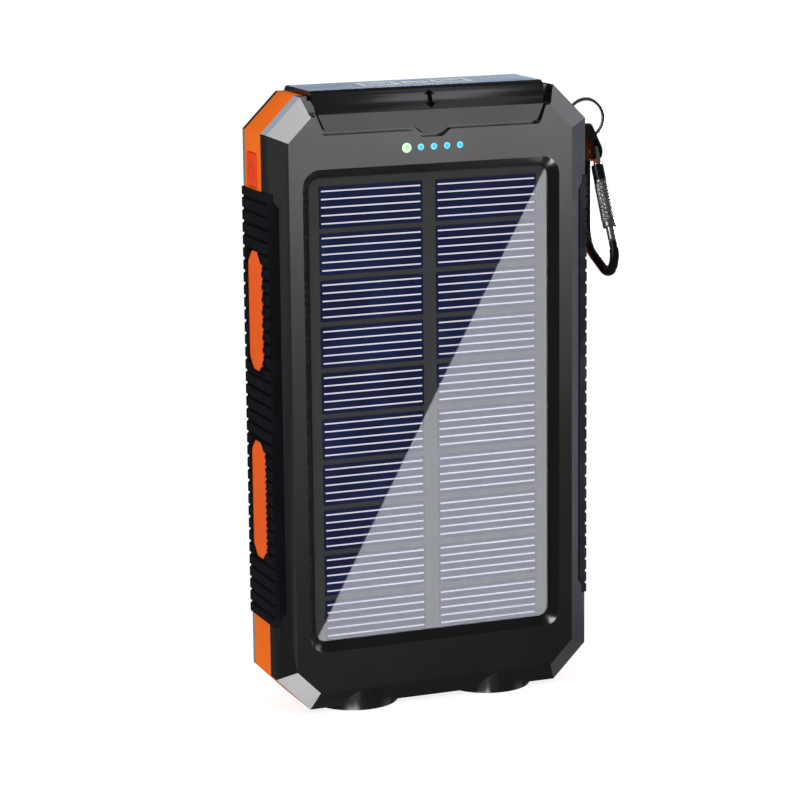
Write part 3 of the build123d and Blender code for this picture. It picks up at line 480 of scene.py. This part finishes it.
pale_green = glow("lens_green_rim", "bcf0bc", "d4f8d4", 0.6)
pale_blue = glow("lens_blue_rim", "6cc8ea", "9cdcf4", 0.55)
for node, count, rim, slot_name in (("green_light_pipe", 1, pale_green, "light_green"),
                                    ("blue_light_pipes", 4, pale_blue, "light_blue")):
    radius, centres = light_centres(node, count)
    for i, centre in enumerate(centres):
        turned(f"{slot_name}_rim_{i + 1}", dome(radius, 0.12 * MM), centre, (0, -1, 0), "case",
               slot_name, rim)
        turned(f"{slot_name}_core_{i + 1}", dome(radius * 0.62, 0.2 * MM), centre, (0, -1, 0), "case",
               slot_name)


# ---- knurled locking sleeve on the carabiner ------------------------------------------------------
sleeve_mesh = nodes["gate_sleeve"].data
sleeve_co = [v.co.copy() for v in sleeve_mesh.vertices]
sleeve_mid = sum(sleeve_co, Vector()) / len(sleeve_co)
gate_co = [v.co.copy() for v in nodes["gate_collar"].data.vertices]
gate_mid = sum(gate_co, Vector()) / len(gate_co)
gate_axis = (gate_mid - sleeve_mid).normalized()
reach = [(co - sleeve_mid).dot(gate_axis) for co in sleeve_co]
sleeve_start, sleeve_end = min(reach), max(reach)
radii = [((co - sleeve_mid) - gate_axis * along).length for co, along in zip(sleeve_co, reach)]
sleeve_r, bore_r = max(radii), min(radii)
knurl_depth, knurl_count, knurl_twist = 0.07 * MM, 9, 34
groove_depth, groove_half, end_round = 0.16 * MM, 0.012, 0.18 * MM


def knurled_sleeve():
    """Tube with a crossed knurl between two plain rings."""
    rings, steps = 96, 72
    side = gate_axis.orthogonal().normalized()
    other = gate_axis.cross(side)
    length = sleeve_end - sleeve_start
    plain = 0.12
    plain_end = 1 - plain * 0.6
    bm = bmesh.new()
    grid = []
    for i in range(rings + 1):
        t = i / rings
        along = sleeve_start + length * t
        row = []
        for k in range(steps):
            angle = 2 * math.pi * k / steps
            cut = 0.0
            if plain < t < plain_end:
                around, twist = angle * knurl_count, t * knurl_twist
                cut = knurl_depth * (abs(math.sin(around + twist)) + abs(math.sin(around - twist)) - 1)
            groove = groove_depth if min(abs(t - plain), abs(t - plain_end)) < groove_half else 0.0
            ends = end_round if i in (0, rings) else 0.0
            radius = sleeve_r - 0.06 * MM + cut * 0.8 - groove - ends
            row.append(bm.verts.new(sleeve_mid + gate_axis * along
                                    + (side * math.cos(angle) + other * math.sin(angle)) * radius))
        grid.append(row)
    for along in (sleeve_end, sleeve_start):
        grid.append([bm.verts.new(sleeve_mid + gate_axis * along
                                  + (side * math.cos(2 * math.pi * k / steps)
                                     + other * math.sin(2 * math.pi * k / steps)) * bore_r)
                     for k in range(steps)])
    for a, b in zip(grid, grid[1:] + grid[:1]):
        for k in range(steps):
            j = (k + 1) % steps
            bm.faces.new((a[k], b[k], b[j], a[j]))
    bmesh.ops.recalc_face_normals(bm, faces=bm.faces[:])
    mesh = bpy.data.meshes.new("knurled_sleeve")
    bm.to_mesh(mesh)
    bm.free()
    made = piece("knurled_sleeve", mesh, "sleeve", "sleeve_silver")
    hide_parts("gate_sleeve")


knurled_sleeve()


# ---- compass card ---------------------------------------------------------------------------------
dial_low, dial_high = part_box("compass_dial")
dial_mid = Vector(((dial_low.x + dial_high.x) / 2, dial_high.y, (dial_low.z + dial_high.z) / 2))
dial_r = (dial_high.x - dial_low.x) / 2
card_text, small_text = 2.9 * MM, 1.15 * MM
text_at, tick_from, long_tick_from, tick_to = (dial_r * share for share in (0.6, 0.84, 0.79, 0.96))
# The green compass print glows faintly through emission. This is painted light, because the print is no lamp.
print_green_painted_glow = glow("print_green_painted_glow", "5fe07a", "8af09c", 0.25)
print_white = plastic("print_white", "f0f0ea", "dcdcd4", 0.5)


def join_meshes(name, meshes):
    bm = bmesh.new()
    for mesh in meshes:
        bm.from_mesh(mesh)
    joined = bpy.data.meshes.new(name)
    bm.to_mesh(joined)
    bm.free()
    return joined


def letters(text, size, distance, bearing):
    """Text at a bearing on the dial, its foot towards the middle. Local X is left to right."""
    curve = bpy.data.curves.new("letters_" + text, "FONT")
    curve.body = text
    curve.size = size
    curve.align_x = "CENTER"
    curve.align_y = "CENTER"
    curve.extrude = 0.02 * MM
    thing = bpy.data.objects.new("letters_" + text, curve)
    bpy.context.scene.collection.objects.link(thing)
    mesh = bpy.data.meshes.new_from_object(thing.evaluated_get(bpy.context.evaluated_depsgraph_get()))
    bpy.data.objects.remove(thing)
    turn = Matrix.Rotation(-bearing, 4, "Z")
    mesh.transform(turn @ Matrix.Translation((0, distance, 0)))
    return mesh


def tick(bearing, inner, outer, width):
    """Thin bar along a bearing."""
    half = width / 2
    mesh = sheet_mesh("tick", [[[(-half, inner), (half, inner), (half, outer), (-half, outer)]]])
    mesh.transform(Matrix.Rotation(-bearing, 4, "Z") @ Matrix.Translation((0, 0, 0.02 * MM)))
    return mesh


def on_dial(name, meshes, finish, slot_name):
    """Lays a flat print on the back-facing dial: local X points to -X and local Y to +Z."""
    mesh = join_meshes(name, meshes)
    mesh.transform(Matrix(((-1, 0, 0, dial_mid.x), (0, 0, 1, dial_mid.y + 0.02 * MM),
                           (0, 1, 0, dial_mid.z), (0, 0, 0, 1))))
    return piece(name, mesh, "compass_card", slot_name, finish)


cardinals = [letters(text, card_text, text_at, math.radians(90 * i)) for i, text in enumerate("NESW")]
north = sheet_mesh("north", [[[(-0.45 * MM, dial_r * 0.86), (0.45 * MM, dial_r * 0.86), (0, dial_r * 0.99)]]])
on_dial("compass_cardinals", cardinals + [north], print_green_painted_glow, "light_green")
between = [letters(text, small_text, text_at, math.radians(45 + 90 * i))
           for i, text in enumerate(("NE", "SE", "SW", "NW"))]
ticks = [tick(math.radians(5 * i), tick_from if i % 3 else long_tick_from, tick_to,
              (0.1 if i % 3 else 0.17) * MM) for i in range(1, 72)]
on_dial("compass_scale", between + ticks, print_white, "switch_white")


# ---- contacts inside the ports ----------------------------------------------------------------------
def contacts(name, node, middles, count, width, length):
    """Gold strips on the back of each tongue: where the tongues are as shares of the node's width."""
    low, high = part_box(node)
    foot, head = high.z - length, high.z - 0.4 * MM
    meshes = []
    for share in middles:
        for i in range(count):
            x = low.x + (high.x - low.x) * share + (i - (count - 1) / 2) * width * 2.2
            left, right_side = x - width / 2, x + width / 2
            outline = [(left, foot), (right_side, foot), (right_side, head), (left, head)]
            meshes.append(sheet_mesh("contact", [[outline]]))
    mesh = join_meshes(name, meshes)
    mesh.transform(Matrix(((1, 0, 0, 0), (0, 0, -1, high.y + 0.03 * MM), (0, 1, 0, 0), (0, 0, 0, 1))))
    return piece(name, mesh, "case", "jewel_brass")


contacts("usb_a_contacts", "usb_a_tongues", (0.13, 0.87), 4, 1.0 * MM, 7 * MM)
contacts("micro_usb_contacts", "micro_usb_tongue", (0.5,), 5, 0.4 * MM, 3 * MM)

# ---- camera -------------------------------------------------------------------------------------------
camera_at = Vector((-0.25049, -0.632853, 0.136425))
yaw, pitch, roll = 0.376347, 0.203024, -0.01093
lens_mm, sensor_mm = 137.66, 36.0

forward = Vector((math.sin(yaw) * math.cos(pitch), math.cos(yaw) * math.cos(pitch), -math.sin(pitch)))
level = Vector((math.cos(yaw), -math.sin(yaw), 0))
above = level.cross(forward)
right = math.cos(roll) * level + math.sin(roll) * above
top = -math.sin(roll) * level + math.cos(roll) * above
camera_data = bpy.data.cameras.new("camera")
camera_data.lens = lens_mm
camera_data.sensor_width = sensor_mm
camera_data.clip_start = 0.01
camera_data.clip_end = 50
camera = bpy.data.objects.new("camera", camera_data)
camera.matrix_world = Matrix.Translation(camera_at) @ Matrix((right, top, -forward)).transposed().to_4x4()
bpy.context.scene.collection.objects.link(camera)
bpy.context.scene.camera = camera
bpy.context.scene.view_settings.view_transform = "Standard"

# ---- floor, light and surroundings -------------------------------------------------------------------------
floor_half = 6.0
floor_mesh = bpy.data.meshes.new("floor")
floor_corners = [(x * floor_half, y * floor_half, FLOOR_Z) for x, y in ((-1, -1), (1, -1), (1, 1), (-1, 1))]
floor_mesh.from_pydata(floor_corners, [], [(0, 1, 2, 3)])
floor = bpy.data.objects.new("floor", floor_mesh)
bpy.context.scene.collection.objects.link(floor)
paper = Finish("floor_paper", "8e8e8e", 0.9, Specular_IOR_Level=0.0)
paper.mottle("8c8c8c", 3)
paper.shader.inputs["Emission Color"].default_value = (1, 1, 1, 1)
paper.shader.inputs["Emission Strength"].default_value = 0.84
floor_mesh.materials.append(paper.material)
floor.visible_glossy = False
floor.visible_shadow = False
floor.visible_transmission = False


def toward(azimuth, elevation):
    """Unit vector from the object: azimuth 0 is straight in front, positive to the right, in degrees."""
    a, e = math.radians(azimuth), math.radians(elevation)
    return Vector((math.sin(a) * math.cos(e), -math.cos(a) * math.cos(e), math.sin(e)))


ambient_gloss = 0.09
ambient_diffuse = 0.72

world = bpy.data.worlds.new("studio")
world.use_nodes = True
world.cycles.sampling_method = "NONE"
bpy.context.scene.world = world
tree = world.node_tree
background = tree.nodes["Background"]
path = tree.nodes.new("ShaderNodeLightPath")
shade = None
for kind, level in (("Is Glossy Ray", ambient_gloss), ("Is Transmission Ray", ambient_gloss),
                    ("Is Camera Ray", 1.0)):
    pick = tree.nodes.new("ShaderNodeMix")
    pick.inputs[2].default_value = ambient_diffuse
    pick.inputs[3].default_value = level
    tree.links.new(path.outputs[kind], pick.inputs[0])
    if shade:
        tree.links.new(shade, pick.inputs[2])
    shade = pick.outputs[0]
tree.links.new(shade, background.inputs["Color"])


def area_light(name, centre, towards, width, height, brightness, glossy):
    """Rectangular lamp of an even brightness, facing along towards."""
    data = bpy.data.lights.new(name, "AREA")
    data.shape = "RECTANGLE"
    data.size = width
    data.size_y = height
    data.energy = brightness * math.pi * width * height
    lamp = bpy.data.objects.new(name, data)
    turn = Vector(towards).to_track_quat("-Z", "Y").to_matrix().to_4x4()
    lamp.matrix_world = Matrix.Translation(centre) @ turn
    lamp.visible_camera = False
    lamp.visible_transmission = False
    lamp.visible_glossy = glossy
    bpy.context.scene.collection.objects.link(lamp)
    return lamp


light_distance = 0.9
face_step_y = -0.52
key_at = toward(-60, 38) * light_distance
area_light("key", key_at, -key_at, 0.6, 0.6, 1.6, False)
fill_at = toward(25, 50) * light_distance
area_light("fill", fill_at, -fill_at, 0.7, 0.5, 1.1, False)


def lit_only(lamp, things):
    """Keeps a lamp, and the shadows in its light, to these objects."""
    group = bpy.data.collections.new(lamp.name + "_on")
    for thing in things:
        group.objects.link(thing)
    lamp.light_linking.receiver_collection = group
    lamp.light_linking.blocker_collection = group


def gloss_card(name, centre, width, height, brightness, colour, things):
    """A sheet of light that shows only in gloss, facing the object."""
    lamp = area_light(name, centre, -centre, width, height, brightness, True)
    lamp.data.color = linear(colour)[:3]
    lamp.visible_diffuse = False
    lit_only(lamp, things)


shell = [nodes["front_shell"]]
flap = [nodes["port_flap"]]
back = [nodes[name] for name in ("rear_shell", "compass_housing", "compass_window", "case_screws")]
metal_slots = ("ring_steel", "clip_black", "gate_silver", "sleeve_silver")
clip = [thing for thing in bpy.context.scene.objects if thing.type == "MESH" and thing.data.materials
        and thing.data.materials[0] in [finishes[slot_name].material for slot_name in metal_slots]]

# azimuth, elevation, width, height, brightness, colour and what it lights
cards = {
    "corner_top_left": (-21, 35, 0.34, 0.34, 17.0, "f2f2f4", shell),
    "corner_bottom_left": (-22, -58, 0.34, 0.34, 15.0, "f0f2f4", shell),
    "corner_top_right": (69, 24, 0.34, 0.34, 4.0, "eceef4", shell),
    "corner_bottom_right": (84, -42, 0.3, 0.3, 0.7, "eceef4", shell),
    "bevel_left": (-38, -4, 0.26, 0.3, 0.75, "f2f2f4", shell),
    "bevel_right": (80, -9, 0.34, 0.3, 1.7, "d8dcf0", shell),
    "flange_right": (80, -9, 0.34, 0.3, 19.0, "d8dcf0", [nodes["grip_right"]]),
    "side_left": (-173, 22, 0.3, 0.3, 2.6, "d8e4f4", shell),
    "flap_hollow": (26, 29, 0.5, 0.24, 3.6, "eef0f6", flap),
    "flap_shoulder": (46, 56, 0.5, 0.5, 0.8, "eef0f6", flap),
    "flap_top": (158, 6, 0.9, 0.2, 3.4, "b0c4dc", flap),
    "clip_side": (118, 4, 0.6, 0.9, 16.0, "ffffff", clip),
    "clip_edge": (-75, 20, 0.12, 0.9, 5.0, "ffffff", clip),
    "back_high": (160, 45, 0.6, 0.4, 2.4, "f2f4f6", back),
    "back_low": (-150, -10, 0.3, 0.8, 1.6, "f2f4f6", back),
    "back_middle": (176, -9, 0.7, 0.45, 0.9, "f2f4f6", back),
    "back_side": (130, -12, 0.5, 0.5, 1.0, "f2f4f6", back),
    "face_soft": (-14, -24, 0.4, 0.4, 0.7, "f2f4f6", shell),
}
for name, (azimuth, elevation, width, height, brightness, colour, things) in cards.items():
    gloss_card(name, toward(azimuth, elevation) * light_distance, width, height, brightness, colour, things)

# falling light mirrored by the face: left and right, lower and upper edge, and brightness
face_steps = ((0.03, 0.40, -0.035, 0.16, 4.0, shell), (0.03, 0.40, -0.06, 0.16, 2.8, flap),
              (0.03, 0.33, -0.10, -0.035, 0.8, shell), (0.03, 0.21, -0.15, -0.10, 0.7, shell),
              (0.03, 0.21, -0.23, -0.15, 0.25, shell))
for i, (left, right_end, low, high, brightness, things) in enumerate(face_steps):
    centre = ((left + right_end) / 2, face_step_y, (low + high) / 2)
    lamp = area_light(f"face_step_{i + 1}", centre, (0, 1, 0), right_end - left, high - low, brightness, True)
    lamp.visible_diffuse = False
    lit_only(lamp, things)


def panel_glare(brightness, distance, width):
    """Sheet of light that the panel's window mirrors below its rising diagonal."""
    low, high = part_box("solar_cover")
    mirror_y = low.y
    image_at = Vector((camera_at.x, 2 * mirror_y - camera_at.y, camera_at.z))
    spots = []
    for corner in (Vector((low.x, mirror_y, low.z)), Vector((high.x, mirror_y, high.z))):
        ray = corner - image_at
        spots.append(corner + ray * (distance / -ray.y))
    foot, head = spots
    along = (head - foot).normalized()
    across = Vector((along.z, 0, -along.x))
    length = (head - foot).length * 2.4
    centre = (foot + head) / 2 + across * width / 2
    lamp = area_light("panel_glare", centre, (0, 1, 0), width, length, brightness, True)
    lamp.data.color = linear("f4f6ff")[:3]
    turn = Matrix((across, along, across.cross(along))).transposed()
    lamp.matrix_world = Matrix.Translation(centre) @ turn.to_4x4()
    lamp.visible_diffuse = False
    lit_only(lamp, [nodes["solar_cover"]])


panel_glare(3.7, 0.5, 0.4)
